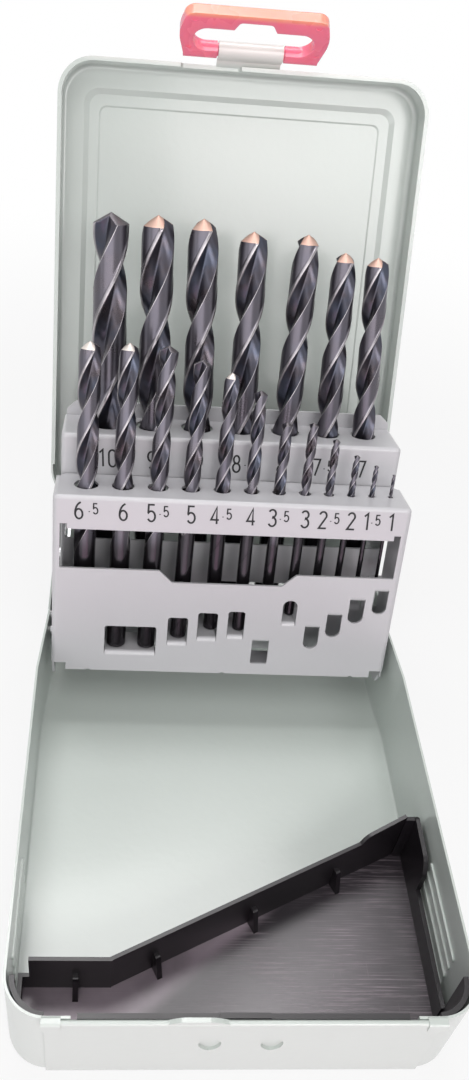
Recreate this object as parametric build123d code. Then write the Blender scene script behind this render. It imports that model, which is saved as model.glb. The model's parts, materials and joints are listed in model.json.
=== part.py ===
import os
from math import atan2, cos, degrees, hypot, pi, radians, sin, sqrt, tan

from build123d import *

# Twist-drill case. Working frame: x across, y back from the front face of the tray,
# z up from its underside; every shape moves back by half the depth when written.

# ---- sheet and fits ----
sheet = 0.6
rack_sheet = 0.8
running_fit = 0.05
drill_clearance = 0.3
link_play = 0.32
seat_gap = 0.02
lid_gap = 0.4
rack_gap = 1.4
nest_gap = 0.5
insert_gap = 1.2

# ---- tray ----
case_half = 56.0
tray_depth = 170.5
tray_height = 31.0
front_corner = 10.5
rear_corner = 3.0
tray_step = 1.8
tray_waist = case_half - tray_step
waist_start = 101.5
waist_end = 123.5
flap_half = case_half - 10.0
wrap_half = flap_half - 6.0
hem_low = 28.2
hem_proud = 0.9
bump_x = -11.0
bump_rise = 1.2
guide_rib_z = (6.0, 10.5, 15.0, 19.5)
guide_rib_start, guide_rib_end = 19.0, 46.0
guide_rib_rise = 0.5

# ---- lid, drawn shut ----
rim_z = 31.6
lid_top = 43.2
lid_waist = tray_waist - sheet - lid_gap
lid_waist_start = 127.0
lid_waist_end = 133.0
skirt_start = lid_waist_end + 0.5
skirt_end = skirt_start + 5.0
lid_skirt = 27.5
lid_rear = 168.4
lid_rear_radius = 14.0
lid_tail = 3.0
hem_strip = 6.0
emboss_front = 7.2
emboss_half = case_half - 7.5
emboss_end = 138.0
emboss_rise = 0.8
emboss_ramp = 1.6
panel_front = 11.9
panel_half = emboss_half - 4.5
panel_rise = 0.3
panel_ramp = 0.5

# ---- hinge, racks and links ----
hinge_y, hinge_z = 153.1, 28.9
lid_swing = 115.0
rack_swing = 106.0
rack_lean = 16.0
rack_y, rack_z = 125.62, 77.99
rivet_r = 1.6
pivot_r = 1.5
cheek_eye = 3.0
front_pivot = (-55.3, 16.8)
back_pivot = (-51.1, 19.5)
link_crank = 11.0
link_crank_angle = 160.0
rack_crank = 11.771
rack_crank_angle = 155.5
link_length = 23.437
link_angle = 10.975
link_pin_r = 1.3

# ---- front rack, in its own plane: x, d back from the face, s up from the top ----
front_half = tray_waist - sheet - rack_gap
front_shelf = 16.2
front_foot = -59.1
front_hole_d = 8.5
front_left_margin, front_right_margin = 5.95, 4.3
window_top = -10.45
window_low = -23.3
window_deep = -27.2

# ---- back rack ----
back_half = front_half - rack_sheet - nest_gap
back_face = 16.6
back_top = 12.4
back_rear = 33.8
back_foot = -60.0
back_hole_d = 26.7
back_lip = 4.5
back_window_top = -1.0
back_window_low = -21.8

# ---- latch, v down from its hinge bar ----
latch_y, latch_z = -3.7, 29.0
latch_rest = 31.75
latch_half = 21.75
latch_base = 19.75
latch_length = 18.2
latch_thick = 3.7
bar_r = 2.3
neck_r = 1.75
tongue_half = 9.5
curl_r = neck_r + running_fit + sheet

# ---- insert ----
insert_floor = 1.8
insert_front = 28.5
insert_wall = 17.5
insert_half = case_half - sheet - insert_gap

# ---- drills ----
drill_helix = 28.0
drill_point = 118.0
drill_web = 0.4
drill_land = 104.0
fluted_from = 5.0

# diameter, flute length, tip's lean in x, d of foot, s of tip, s of support
front_drills = (
    (6.5, 63, 0.15, 4.5, 41.7, -58.3),
    (6.0, 57, 0.3, 4.1, 41.6, -52.0),
    (5.5, 57, 1.0, 3.9, 41.4, -52.0),
    (5.0, 52, 0.95, 3.9, 38.0, -48.1),
    (4.5, 47, 0.1, 6.6, 35.2, -46.2),
    (4.0, 43, 0.2, 4.2, 30.1, -45.1),
    (3.5, 39, 0.3, 5.4, 21.6, -46.5),
    (3.0, 33, 0.4, 5.5, 21.7, -39.8),
    (2.5, 30, 0.3, 6.0, 17.2, -40.9),
    (2.0, 24, 0.3, 6.4, 12.7, -36.3),
    (1.5, 18, 0.2, 6.8, 9.8, -30.8),
    (1.0, 12, 0.1, 7.2, 7.2, -27.4),
)

# diameter, flute length, x of hole from the middle in half widths, s of tip, s of support, tip's lean in x
back_drills = (
    (10.0, 87, -0.737, 73.7, -59.2, -1.0),
    (9.5, 81, -0.4715, 73.7, -51.3, -1.5),
    (9.0, 81, -0.206, 73.5, -51.3, -2.4),
    (8.5, 75, 0.059, 70.9, -46.2, -1.6),
    (8.0, 75, 0.328, 71.0, -46.2, 0.1),
    (7.5, 69, 0.5795, 66.7, -42.8, -1.6),
    (7.0, 69, 0.8055, 65.9, -42.8, -3.6),
)

# first and last drill, reach left and right of them, s top, s bottom, shelf surface, bent at the bottom
front_tabs = (
    (1, 2, 3.9, 1.7, -42.9, -53.4, -52.0, True),
    (3, 3, 4.7, 1.5, -39.3, -49.4, -48.1, True),
    (4, 4, 4.8, 1.3, -37.3, -47.5, -46.2, True),
    (5, 5, 4.3, 0.9, -36.5, -46.4, -45.1, True),
    (6, 6, 4.35, 0.95, -45.9, -55.1, -46.5, False),
    (7, 7, 3.8, 0.65, -32.0, -41.1, -39.8, True),
    (8, 8, 3.4, 1.2, -40.3, -48.9, -40.9, False),
    (9, 9, 3.7, 0.95, -35.7, -44.5, -36.3, False),
    (10, 10, 3.6, 1.15, -30.2, -39.3, -30.8, False),
    (11, 11, 2.3, 2.2, -26.8, -35.7, -27.4, False),
)

# first and last drill, reach left and right of them, s of the shelf surface
back_tabs = (
    (1, 2, 7.5, 6.5, -51.3),
    (3, 4, 5.5, 5.8, -46.2),
    (5, 6, 5.0, 5.5, -42.8),
)
back_tab_rise = 11.0


def front_hole_x():
    """Holes across the front shelf with equal metal between them."""
    sizes = [row[0] for row in front_drills]
    room = 2 * front_half - front_left_margin - front_right_margin - sum(sizes)
    web = room / (len(sizes) - 1)
    places, edge = [], -front_half + front_left_margin
    for size in sizes:
        places.append(edge + size / 2)
        edge += size + web
    return places


front_x = front_hole_x()
back_x = [row[2] * back_half for row in back_drills]


# ---- frames ----
rack_place = Pos(0, rack_y, rack_z) * Rot(-rack_lean, 0, 0)
lid_place = Pos(0, hinge_y, hinge_z) * Rot(-lid_swing, 0, 0) * Pos(0, -hinge_y, -hinge_z)
latch_place = Pos(0, latch_y, latch_z) * Rot(-latch_rest, 0, 0) * Pos(0, -latch_y, -latch_z)
to_origin = Pos(0, -tray_depth / 2, 0)


def rack_point(s, d):
    """World y, z of a point in the racks' side view."""
    lean = radians(rack_lean)
    return (
        rack_y + s * sin(lean) + d * cos(lean),
        rack_z + s * cos(lean) - d * sin(lean),
    )


def polar(centre, radius, angle):
    return (
        centre[0] + radius * cos(radians(angle)),
        centre[1] + radius * sin(radians(angle)),
    )


# ---- small builders ----
def rounded(points, radii):
    """Closed outline through points, each corner rounded by its own radius."""
    outline = Wire.make_polygon([Vector(*p, 0) for p in points], close=True)
    for point, radius in zip(points, radii):
        if radius:
            corner = outline.vertices().sort_by_distance(Vector(*point, 0))[0]
            outline = outline.fillet_2d(radius, [corner])
    return Face(outline)


def prism_z(points, radii, z0, z1):
    return Pos(0, 0, z0) * extrude(rounded(points, radii), amount=z1 - z0, dir=(0, 0, 1))


def prism_x(points, radii, x0, x1):
    """Outline in y, z pushed along x."""
    turn = Plane(origin=(x0, 0, 0), x_dir=(0, 1, 0), z_dir=(1, 0, 0))
    return extrude(turn * rounded(points, radii), amount=x1 - x0, dir=(1, 0, 0))


def prism_y(points, radii, y0, y1):
    """Outline in x, z pushed along y."""
    turn = Plane(origin=(0, y0, 0), x_dir=(1, 0, 0), z_dir=(0, -1, 0))
    return extrude(turn * rounded(points, radii), amount=y1 - y0, dir=(0, 1, 0))


def block(x0, x1, y0, y1, z0, z1):
    return Pos((x0 + x1) / 2, (y0 + y1) / 2, (z0 + z1) / 2) * Box(x1 - x0, y1 - y0, z1 - z0)


def rod_x(radius, x0, x1, y, z):
    return Pos((x0 + x1) / 2, y, z) * Rot(0, 90, 0) * Cylinder(radius, x1 - x0)


def both_sides(shape):
    return [shape, mirror(shape, about=Plane.YZ)]


def solid_of(shape):
    return max(shape.solids(), key=lambda body: body.volume)


nodes = {}


def keep(name, shapes, place=Pos(0, 0, 0)):
    """Store a node: a list of separate solids, or one fused shape."""
    bodies = shapes if isinstance(shapes, list) else [shapes]
    placed = [to_origin * place * solid_of(body) for body in bodies]
    nodes[name] = placed[0] if len(placed) == 1 else Compound(children=placed)


def case_outline(inset, front, waist, start, end, rear, tail):
    """Plan of tray or lid: rounded front, sides drawn in toward the hinge."""
    half = case_half - inset
    neck = waist - inset
    corner = front_corner - inset
    points = [
        (-half, front + inset), (half, front + inset), (half, start), (neck, end),
        (neck, rear - inset), (-neck, rear - inset), (-neck, end), (-half, start),
    ]
    radii = [corner, corner, 12, 12, tail - inset, tail - inset, 12, 12]
    return points, radii


# ---- tray ----
def tray_plan(inset):
    return case_outline(inset, sheet, tray_waist, waist_start, waist_end, tray_depth, rear_corner)


def make_tray():
    outer = prism_z(*tray_plan(0), 0, tray_height)
    outer = fillet(outer.edges().group_by(Axis.Z)[0], 1.3)
    inner = prism_z(*tray_plan(sheet), sheet, tray_height + 1)
    inner = fillet(inner.edges().group_by(Axis.Z)[0], 0.7)
    shell = outer - inner
    shell -= block(-wrap_half, wrap_half, -1, 2 * sheet + 0.8, sheet, tray_height + 1)
    # folded front flap with its rolled hem
    flap = prism_x(
        [(0, 0), (0, hem_low), (sheet, hem_low), (sheet, sheet), (4, sheet), (4, 0)],
        [1.2, 0, 0, 0.5, 0, 0], -flap_half, flap_half)
    hem = prism_x(
        [(-hem_proud, hem_low), (-hem_proud, tray_height), (sheet, tray_height), (sheet, hem_low)],
        [0.7, 0.7, 0.7, 0], -flap_half, flap_half)
    bump = prism_y(
        [(bump_x - 9, tray_height - 1), (bump_x - 4, tray_height + bump_rise),
         (bump_x + 4, tray_height + bump_rise), (bump_x + 9, tray_height - 1)],
        [0, 7, 7, 0], -hem_proud + 0.2, sheet - 0.2)
    shell = shell + flap + hem + bump
    # turned-over clips holding the hem at each end
    for x0, x1 in ((-flap_half - 0.6, -flap_half + 3.8), (flap_half - 4.0, flap_half + 0.6)):
        shell += prism_x(
            [(-1.3, 28.3), (-1.3, 31.3), (1.2, 31.3), (1.2, 28.3)],
            [0.3, 0.7, 0.7, 0.3], x0, x1)
    # open seam under the front corners
    for side in (-1, 1):
        ring = Pos(side * (case_half - front_corner), front_corner + sheet, 0) * (
            Cylinder(9.9, 4) - Cylinder(8.9, 4))
        shell -= ring & block(
            side * 51 - 4.9, side * 51 + 4.9, -1, front_corner, -1, 1.5)
    # lens dimples pressed in from the front
    for x in (-7.4, 7.4):
        cut = lens(x, 17.5, 2.7, 3.8)
        shell -= Pos(0, -1, 0) * extrude(cut, amount=1.8, dir=(0, 1, 0))
        back = lens(x, 17.5, 3.2, 4.4)
        pad = extrude(back, amount=0.9, dir=(0, 1, 0))
        shell += Pos(0, 0.5, 0) * pad - Pos(0, -1, 0) * extrude(cut, amount=1.8, dir=(0, 1, 0))
    # embossed guide ribs along the inside of the side walls
    for z in guide_rib_z:
        rib = prism_x(
            [(guide_rib_start, z - 0.7), (guide_rib_end, z - 0.7),
             (guide_rib_end, z + 0.7), (guide_rib_start, z + 0.7)],
            [0.6] * 4, case_half - sheet - guide_rib_rise, case_half - sheet / 2)
        for part in both_sides(rib):
            shell += part
    # ears around the hinge and bores for the pivots
    ear = rod_x(5.1, tray_waist - sheet, tray_waist, hinge_y, hinge_z)
    for part in both_sides(ear):
        shell += part
    for s, d in (front_pivot, back_pivot):
        y, z = rack_point(s, d)
        for part in both_sides(rod_x(pivot_r, tray_waist - 2, tray_waist + 2, y, z)):
            shell -= part
    for part in both_sides(rod_x(rivet_r, tray_waist - 2, tray_waist + 2, hinge_y, hinge_z)):
        shell -= part
    return shell


def lens(x, z, half_width, half_height):
    """Pointed-oval outline standing in the x, z plane."""
    top = Vector(x, 0, z + half_height)
    low = Vector(x, 0, z - half_height)
    right = ThreePointArc(top, Vector(x + half_width, 0, z), low)
    left = ThreePointArc(low, Vector(x - half_width, 0, z), top)
    return Face(Wire([right, left]))


# ---- black insert ----
def make_insert():
    base = sheet + seat_gap
    half = insert_half
    wall = 1.0
    left, start, corner = -half + 2.7, (-31.2, 19.6), (half - 3.4, 58.8)
    run = hypot(corner[0] - start[0], corner[1] - start[1])
    slant = degrees(atan2(corner[1] - start[1], corner[0] - start[0]))
    back = start[1] + wall
    body = prism_z(
        [(-half + 0.8, 2.4), (half - 0.8, 2.4), (half - 0.8, corner[1] + wall), (corner[0], corner[1] + wall),
         (start[0], back), (-half + 0.8, back)],
        [8, 8, 0, 0, 0, 0], base, insert_floor)
    # stepped front wall and the rounded corner walls
    wall_base = base + 0.8
    arc_x, arc_y, arc_r = half - 9.0, 11.4, 9.6
    body += block(-flap_half, flap_half, 1.5, 2.8, wall_base, insert_front)
    body += block(-6, 6, 1.5, 2.8, wall_base, insert_front + 0.4)
    for side in (-1, 1):
        centre = Pos(side * arc_x, arc_y, 0)
        tube = centre * (
            Pos(0, 0, (insert_front + wall_base) / 2)
            * (Cylinder(arc_r, insert_front - wall_base) - Cylinder(arc_r - 1.2, insert_front - wall_base)))
        reach = arc_x if side > 0 else -arc_x - arc_r - 0.1
        body += tube & block(reach, reach + arc_r + 0.1, 1.5, arc_y, wall_base, insert_front)
        notch = sorted((side * (flap_half - 7.4), side * (flap_half + 0.2)))
        body -= block(*notch, 1, 3.4, 20, insert_front + 1)
    # rear walls: straight, slanting and the two low ends
    body += block(left, start[0] + 0.5, start[1], back, base, insert_wall)
    body += block(-half - 0.2, left, start[1], back, base, 8.2)
    along = Pos(start[0], start[1], 0) * Rot(0, 0, slant)
    body += along * block(0, run, 0, wall, base, insert_wall)
    body += along * prism_y(
        [(run - 15.5, insert_wall - 1), (run - 13, insert_wall + 2.6), (run, insert_wall + 4.2),
         (run, insert_wall - 1)],
        [0, 4, 0, 0], 0, wall)
    # side walls
    body += block(corner[0] - 0.4, half - 0.2, corner[1] - 0.6, corner[1] + 0.6, base, 21.0)
    body += prism_x(
        [(43.5, base), (43.5, 17.0), (46.5, 21.0), (corner[1] + 0.6, 21.7), (corner[1] + 0.6, base)],
        [0, 2, 2, 1.2, 0], half - 1.2, half)
    body += block(half - 1.2, half, arc_y, 43.5, base, 9.5)
    body += block(-half - 0.2, -half + 1.0, arc_y, back, base, 8.2)
    # webs bracing the rear walls, square to them
    gusset = prism_x(
        [(-3.6 - wall / 2, base), (0.2, base), (0.2, 10.2), (-1.6, 10.2), (-3.4, insert_floor + 0.6)],
        [0, 0, 0, 0.8, 0.8], -0.7, 0.7)
    body += Pos(left + 11.7, start[1], 0) * gusset
    for share in (0.142, 0.463, 0.759):
        body += along * Pos(share * run, 0, 0) * gusset
    return body


# ---- lid, drawn shut ----
def lid_plan(inset):
    return case_outline(inset, 0, lid_waist, lid_waist_start, lid_waist_end, lid_rear, lid_tail)


def lid_body(inset):
    """Rolled-over plan of the lid cut to its side view."""
    radius = lid_rear_radius - inset
    top = lid_top - inset
    rear = lid_rear - inset
    plan = prism_z(*lid_plan(inset), lid_skirt - 1, top)
    plan = fillet(plan.edges().group_by(Axis.Z)[-1], 2.0 - inset)
    side = prism_x(
        [(inset, rim_z), (inset, top), (rear, top), (rear, lid_skirt),
         (skirt_end, lid_skirt), (skirt_start, rim_z)],
        [0, 0, radius, 0, 2, 2], -case_half, case_half)
    return plan & side


def emboss_block(half, front, end, corner, ramp, z0, rise):
    """Low raised panel with sloping edges."""
    lower = rounded(
        [(-half, front), (half, front), (half, end), (-half, end)], [corner] * 4)
    upper = rounded(
        [(-half + ramp, front + ramp), (half - ramp, front + ramp),
         (half - ramp, end - ramp), (-half + ramp, end - ramp)], [corner - ramp * 0.6] * 4)
    return loft([Pos(0, 0, z0) * lower, Pos(0, 0, z0 + rise) * upper])


def panel(z):
    step = emboss_block(emboss_half, emboss_front, emboss_end, 4.5, emboss_ramp, z, emboss_rise)
    return step + emboss_block(
        panel_half, panel_front, emboss_end - 4.7, 2.4, panel_ramp, z + emboss_rise, panel_rise)


def make_lid():
    shell = lid_body(0) - (
        lid_body(sheet))
    # open the underside
    shell -= prism_z(*lid_plan(sheet), lid_skirt - 2, rim_z + 1)
    shell += panel(lid_top)
    shell -= panel(lid_top - sheet)
    # hem folded back up inside the rim
    hem = prism_z(*lid_plan(sheet - 0.05), rim_z, rim_z + hem_strip)
    hem -= prism_z(*lid_plan(2 * sheet), rim_z - 1, rim_z + hem_strip + 1)
    hem -= block(-case_half, case_half, lid_waist_start - 4, lid_rear + 1, 0, lid_top)
    shell += hem
    # relief over the bump on the tray's hem
    shell -= prism_y([(bump_x - 9.5, rim_z - 1), (bump_x - 8.5, rim_z + 1.6),
                      (bump_x + 8.5, rim_z + 1.6), (bump_x + 9.5, rim_z - 1)],
                     [0, 0.8, 0.8, 0], -0.5, 2)
    # tongue joggled outward, curled round the latch bar
    near = latch_y + curl_r
    tongue = prism_x(
        [(0, rim_z + 3.4), (0, rim_z + 2.2), (near - sheet, rim_z + 0.6), (near - sheet, latch_z),
         (near, latch_z), (near, rim_z + 0.3), (sheet, rim_z + 1.8), (sheet, rim_z + 3.4)],
        [0, 0, 0.6, 0, 0, 0.6, 0, 0], -tongue_half, tongue_half)
    curl = rod_x(curl_r, -tongue_half, tongue_half, latch_y, latch_z)
    curl -= rod_x(curl_r - sheet, -tongue_half - 1, tongue_half + 1, latch_y, latch_z)
    curl -= block(-20, 20, latch_y + 0.6, latch_y + 4, latch_z, latch_z + 4)
    shell += tongue + curl
    for part in both_sides(rod_x(rivet_r + running_fit, lid_waist - 3, lid_waist + 3, hinge_y, hinge_z)):
        shell -= part
    pin_y, pin_z = lid_pin()
    for part in both_sides(rod_x(link_pin_r, lid_waist - 3, lid_waist + 3, pin_y, pin_z)):
        shell -= part
    return shell


# ---- latch, drawn shut ----
def make_latch():
    inner_face = latch_y + bar_r
    outer_face = inner_face - latch_thick
    top = latch_z + bar_r
    low = top - latch_length
    plate = prism_y(
        [(-latch_base, latch_z), (latch_base, latch_z), (latch_half, top - 10.5),
         (latch_base, low), (-latch_base, low), (-latch_half, top - 10.5)],
        [0, 0, 13, 3.2, 3.2, 13], outer_face, inner_face)
    plate = fillet(
        [e for e in plate.edges() if abs(e.center().Y - outer_face) < 0.01
         and e.center().Z < latch_z - 0.5], 1.0)
    slot_low, slot_high = top - 12.8, top - 4.3
    slot = prism_y([(-17.4, slot_low), (17.4, slot_low), (17.4, slot_high), (-17.4, slot_high)],
                   [4.0, 4.0, 4.0, 4.0], outer_face - 1, inner_face + 1)
    slot += prism_y([(-6.6, slot_low + 1), (-4.6, top - 15.6), (4.6, top - 15.6), (6.6, slot_low + 1)],
                    [0, 1.4, 1.4, 0], outer_face - 1, inner_face + 1)
    plate -= slot
    plate -= block(-30, 30, outer_face - 1, inner_face + 1, latch_z, top + 1)
    bar = rod_x(bar_r, -latch_base, latch_base, latch_y, latch_z)
    gap_half = tongue_half + 0.4
    bar -= rod_x(bar_r + 1, -gap_half, gap_half, latch_y, latch_z) - rod_x(
        neck_r, -gap_half, gap_half, latch_y, latch_z)
    plate -= block(-gap_half, gap_half, outer_face - 1, inner_face + 1, slot_high - 0.5, top + 1)
    body = plate + bar
    for x, v in ((17.5, 16.0), (18.5, 5.6)):
        mark = Pos(x, inner_face, top - v) * Rot(90, 0, 0) * Cylinder(0.9, 0.4)
        for part in both_sides(mark):
            body -= part
    return body


# ---- racks ----
def shelf_bottom(x0, x1, low, top, reach):
    """Tab bent back from the lower edge of its opening."""
    outer = top - low
    return prism_x(
        [(0, low - 1), (0, top), (reach, top), (reach, top - rack_sheet),
         (rack_sheet, top - rack_sheet), (rack_sheet, low - 1)],
        [0, outer, 0, 0, max(outer - rack_sheet, 0.3), 0], x0, x1)


def shelf_top(x0, x1, high, top, reach):
    """Tab bent back from the upper edge of its opening."""
    low = top - rack_sheet
    return prism_x(
        [(0, high + 1), (0, low), (reach, low), (reach, top), (rack_sheet, top), (rack_sheet, high + 1)],
        [0, high - low, 0, 0, 0.25, 0], x0, x1)


def make_front_rack():
    t = rack_sheet
    # pressed channel: face, top shelf, foot and two cheeks
    box = block(-front_half, front_half, 0, front_shelf, front_foot, 0)
    box = fillet(box.edges().filter_by(Axis.Z).group_by(Axis.Y)[0], 1.4)
    box = fillet([e for e in box.edges() if abs(e.center().Z) < 0.01 and e.center().Y < 14
                  and abs(e.center().X) < front_half - 0.1], 1.2)
    hollow = block(-front_half + t, front_half - t, t, front_shelf + 1, front_foot + t, -t)
    hollow = fillet(hollow.edges().filter_by(Axis.Z).group_by(Axis.Y)[0], 0.6)
    body = box - hollow
    # cheeks run down to the pivot
    cheek = prism_x(
        [(t, -2), (t, -56.7), (2.3, -60.0), (5.0, -64.0), (10.5, -63.2), (front_shelf, -58.1),
         (front_shelf, -2)],
        [0, 0.8, 0, 2, 3, 0, 0], front_half - t, front_half)
    # ear for the drive pin, reaching back over the other rack's cheek
    pin_s, pin_d = drive_pin
    cheek += prism_x(
        [(front_shelf - 2, pin_s + 5.4), (front_shelf, pin_s + 5.2), (pin_d + 1, pin_s + 1.8),
         (pin_d, pin_s - 2), (front_shelf, pin_s - 1.8), (front_shelf - 2, pin_s - 1.8)],
        [0, 2, 0, 0, 0, 0], front_half - t, front_half)
    cheek += rod_x(2.0, front_half - t, front_half, pin_d, pin_s)
    cheek += rod_x(cheek_eye, front_half - t, front_half, front_pivot[1], front_pivot[0])
    for part in both_sides(cheek):
        body += part
    # shelf corners cut back, foot cut short, corners of the foot relieved
    for part in both_sides(prism_z([(front_half + 1, 12.2), (front_half + 1, 17.2), (front_half - 4, 17.2)],
                                   [0, 0, 0], -t - 0.01, 1)):
        body -= part
    body -= block(-front_half + t, front_half - t, 12.5, 20, front_foot - 1, front_foot + t + 0.1)
    for part in both_sides(block(front_half - 4.3, front_half - t, -1, front_shelf + 1, front_foot - 1, -56.7)):
        body -= part
    # long window
    wide = front_half - 2.1
    window = prism_y(
        [(-wide, window_low), (-wide, -8.8), (2 - wide, -8.8), (2 - wide, window_top),
         (wide - 2, window_top), (wide - 2, -8.8), (wide, -8.8), (wide, window_low),
         (20.6, window_low), (16.6, window_deep), (-16.6, window_deep), (-20.6, window_low)],
        [0] * 12, -1, t + 0.7)
    body -= window
    # drill bores through the top shelf
    for (size, *rest), x in zip(front_drills, front_x):
        body -= Pos(x, front_hole_d, 0) * Cylinder(size / 2 + drill_clearance, 4)
    # shelves cut and bent out of the face
    for first, last, left, right, high, low, top, at_bottom in front_tabs:
        x0, x1 = front_x[first] - left, front_x[last] + right
        # the narrow openings end in a half round, the wide ones in small corners
        small = front_drills[first][0] < 3.2
        round_low = 0.5 if at_bottom or not small else (x1 - x0) / 2 - 0.1
        round_high = (x1 - x0) / 2 - 0.1 if at_bottom and small else 0.9
        opening = prism_y([(x0, low), (x1, low), (x1, high), (x0, high)],
                          [round_low, round_low, round_high, round_high], -1, t + 0.01)
        body -= opening
        reach = high - low + 0.9
        if at_bottom:
            body += shelf_bottom(x0 + 0.15, x1 - 0.15, low, top, reach)
        else:
            body += shelf_top(x0 + 0.15, x1 - 0.15, high, top, reach)
    # creases in the lower edge of the face
    for x in (-41.0, 1.0, 42.0):
        body -= Pos(x, 0, front_foot) * Rot(0, 90, 0) * Cylinder(0.5, 1.2)
    body -= bores(front_pivot, pivot_r + running_fit)
    body -= bores(drive_pin, drive_pin_r)
    return body


def bores(centre, radius):
    s, d = centre
    return rod_x(radius, front_half - 3, front_half + 1, d, s) + rod_x(
        radius, -front_half - 1, -front_half + 3, d, s)


link_x = back_half - rack_sheet - 1.2
drive_pin = (-47.3, 21.6)
drive_pin_r = 1.2
track_r = hypot(front_pivot[0] - back_pivot[0], front_pivot[1] - back_pivot[1])


def drive_track():
    """Arc slot in the back rack's cheek, swept by the front rack's drive pin."""
    lead = atan2(back_pivot[0] - front_pivot[0], back_pivot[1] - front_pivot[1])
    centre_d = drive_pin[1] + track_r * cos(lead)
    centre_s = drive_pin[0] + track_r * sin(lead)
    half = drive_pin_r + 0.2
    angles = [lead + pi - radians(rack_swing) * share for share in (0, 0.5, 1)]
    x0 = back_half - 2

    def at(radius, angle):
        return Vector(0, centre_d + radius * cos(angle), centre_s + radius * sin(angle))

    outer = ThreePointArc(*[at(track_r + half, a) for a in angles])
    inner = ThreePointArc(*[at(track_r - half, a) for a in reversed(angles)])
    ends = [Line(at(track_r + half, angles[2]), at(track_r - half, angles[2])),
            Line(at(track_r - half, angles[0]), at(track_r + half, angles[0]))]
    band = Face(Wire([outer, ends[0], inner, ends[1]]))
    slot = Pos(x0, 0, 0) * extrude(band, amount=4, dir=(1, 0, 0))
    for a in (angles[0], angles[2]):
        end = at(track_r, a)
        slot += rod_x(half, x0, x0 + 4, end.Y, end.Z)
    return slot


def make_back_rack():
    t = rack_sheet
    box = block(-back_half, back_half, back_face, back_rear, back_foot, back_top)
    box = fillet(box.edges().filter_by(Axis.Z).group_by(Axis.Y)[0], 1.4)
    box = fillet([e for e in box.edges() if abs(e.center().Z - back_top) < 0.01
                  and e.center().Y < back_rear - 1 and abs(e.center().X) < back_half - 0.1], 1.2)
    hollow = block(-back_half + t, back_half - t, back_face + t, back_rear + 1,
                   back_foot + t, back_top - t)
    body = box - hollow
    # upturned lip along the rear of the top shelf
    wide = back_half - 0.7
    lip = prism_y([(-wide, back_top - t), (-wide, back_top + back_lip - 2.6),
                   (2.8 - wide, back_top + back_lip), (wide - 2.8, back_top + back_lip),
                   (wide, back_top + back_lip - 2.6), (wide, back_top - t)],
                  [0, 1, 1, 1, 1, 0], back_rear - t, back_rear)
    body += lip
    # cheeks tapered toward the rear of the foot
    for part in both_sides(prism_x(
            [(back_rear + 1, -46), (back_rear + 1, back_foot - 1), (26.5, back_foot - 1)],
            [0, 0, 0], back_half - t - 0.01, back_half + 1)):
        body -= part
    body -= block(-back_half + t, back_half - t, 32.5, 40, back_foot - 1, back_foot + t + 0.1)
    # foot cut away at each end for the links
    for part in both_sides(block(link_x - 0.8, back_half - t, 21, 40, back_foot - 1, back_foot + t + 0.1)):
        body -= part
    # long window
    body -= prism_y(
        [(-back_half + 1.3, back_window_low), (back_half - 1.3, back_window_low),
         (back_half - 1.3, back_window_top), (-back_half + 1.3, back_window_top)],
        [1, 1, 1, 1], back_face - 1, back_face + t + 0.01)
    for (size, *rest), x in zip(back_drills, back_x):
        body -= Pos(x, back_hole_d, back_top) * Cylinder(size / 2 + drill_clearance, 4)
    # shelves bent back from the face, with the openings they leave
    for first, last, left, right, top in back_tabs:
        x0, x1 = back_x[first] - left, back_x[last] + right
        high = top + back_tab_rise
        body -= prism_y([(x0, top - 2), (x1, top - 2), (x1, high), (x0, high)],
                        [0.8] * 4, back_face - 1, back_face + t + 0.01)
        shelf = shelf_bottom(x0 + 0.2, x1 - 0.2, top - 2, top, 15.5)
        body += Pos(0, back_face, 0) * shelf
    for centre, radius in ((back_pivot, pivot_r + running_fit), (rack_pin(), link_pin_r)):
        body -= bores(centre, radius)
    for part in both_sides(drive_track()):
        body -= part
    return body


def rack_pin():
    """s, d of the link pin carried by the back rack."""
    angle = rack_crank_angle - rack_swing
    centre = rack_point(*back_pivot)
    y, z = polar(centre, rack_crank, angle)
    lean = radians(rack_lean)
    s = (y - rack_y) * sin(lean) + (z - rack_z) * cos(lean)
    d = (y - rack_y) * cos(lean) - (z - rack_z) * sin(lean)
    return s, d


def lid_pin():
    """y, z of the link pin carried by the lid, lid shut."""
    return polar((hinge_y, hinge_z), link_crank, link_crank_angle)


def rivet(y, z, radius, x0, x1, head_r, head_t, inner_head=True):
    """Rivet along x with domed heads outside x0..x1."""
    body = rod_x(radius, x0, x1, y, z)
    body += rod_x(head_r, x1, x1 + head_t, y, z)
    if inner_head:
        body += rod_x(head_r, x0 - head_t, x0, y, z)
    return body


# ---- drills ----
def flute_section(size):
    """Two lands on the full circle with a V-shaped flute between them."""
    r = size / 2
    web = drill_web * size / 2
    a = radians(drill_land / 2)
    corners = [Vector(r * cos(t), r * sin(t)) for t in (-a, a, pi - a, pi + a)]
    edges = [
        ThreePointArc(corners[0], Vector(r, 0), corners[1]),
        Line(corners[1], Vector(0, web)), Line(Vector(0, web), corners[2]),
        ThreePointArc(corners[2], Vector(-r, 0), corners[3]),
        Line(corners[3], Vector(0, -web)), Line(Vector(0, -web), corners[0]),
    ]
    return Face(Wire(edges))


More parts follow.
